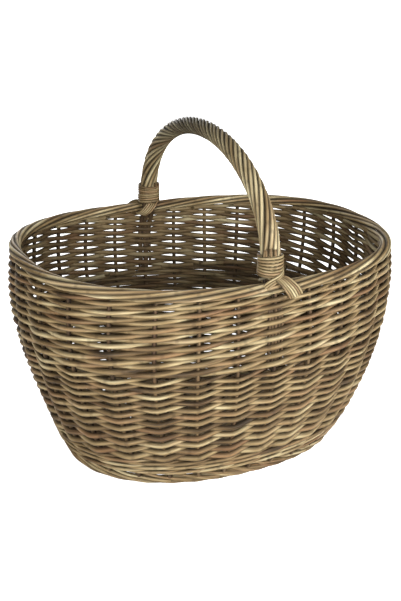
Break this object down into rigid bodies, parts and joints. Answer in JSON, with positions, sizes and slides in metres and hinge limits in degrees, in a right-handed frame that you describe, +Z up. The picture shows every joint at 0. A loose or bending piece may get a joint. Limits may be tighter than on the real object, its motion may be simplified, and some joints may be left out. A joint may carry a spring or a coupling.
{
  "type": "handled basket",
  "caption": "Oval woven willow basket with an openwork upper band, a rolled border, a foot ring and a fixed roped bow handle.",
  "frame": {"origin": "middle of the footprint, on the surface that the basket stands on", "axes": "+Z up, +X along the oval, +Y across it in the plane of the bow handle"},
  "size_m": [0.4826, 0.3968, 0.4133],
  "materials": {
    "willow": "weathered buff willow, satin",
    "dark_willow": "darker brown willow, satin",
    "pale_willow": "pale peeled willow, satin"
  },
  "bodies": {
    "root": {"foot_border": "dark_willow", "base_weave": "willow", "base_long_stick_1": "dark_willow", "base_long_stick_2": "dark_willow", "base_long_stick_3": "dark_willow", "base_short_stick_1": "dark_willow", "base_short_stick_2": "dark_willow", "base_short_stick_3": "dark_willow", "base_short_stick_4": "dark_willow", "base_short_stick_5": "dark_willow", "base_short_stick_6": "dark_willow", "base_short_stick_7": "dark_willow", "stake_01": "dark_willow", "stake_02": "dark_willow", "stake_03": "dark_willow", "stake_04": "dark_willow", "stake_05": "dark_willow", "stake_06": "dark_willow", "stake_07": "dark_willow", "stake_08": "dark_willow", "stake_09": "dark_willow", "stake_10": "dark_willow", "stake_11": "dark_willow", "stake_12": "dark_willow", "stake_13": "dark_willow", "stake_14": "dark_willow", "stake_15": "dark_willow", "stake_16": "dark_willow", "stake_17": "dark_willow", "stake_18": "dark_willow", "stake_19": "dark_willow", "stake_20": "dark_willow", "stake_21": "dark_willow", "stake_22": "dark_willow", "stake_23": "dark_willow", "stake_24": "dark_willow", "stake_25": "dark_willow", "stake_26": "dark_willow", "stake_27": "dark_willow", "stake_28": "dark_willow", "upsett_outer_wale": "willow", "lower_siding": "willow", "upper_siding": "willow", "border": "willow", "handle_bow": "dark_willow", "handle_roping": "pale_willow", "handle_wrap_near": "pale_willow", "handle_wrap_far": "pale_willow", "handle_lashing_near_under": "pale_willow", "handle_lashing_near_over": "pale_willow", "handle_lashing_far_under": "pale_willow", "handle_lashing_far_over": "pale_willow"}
  },
  "joints": []
}
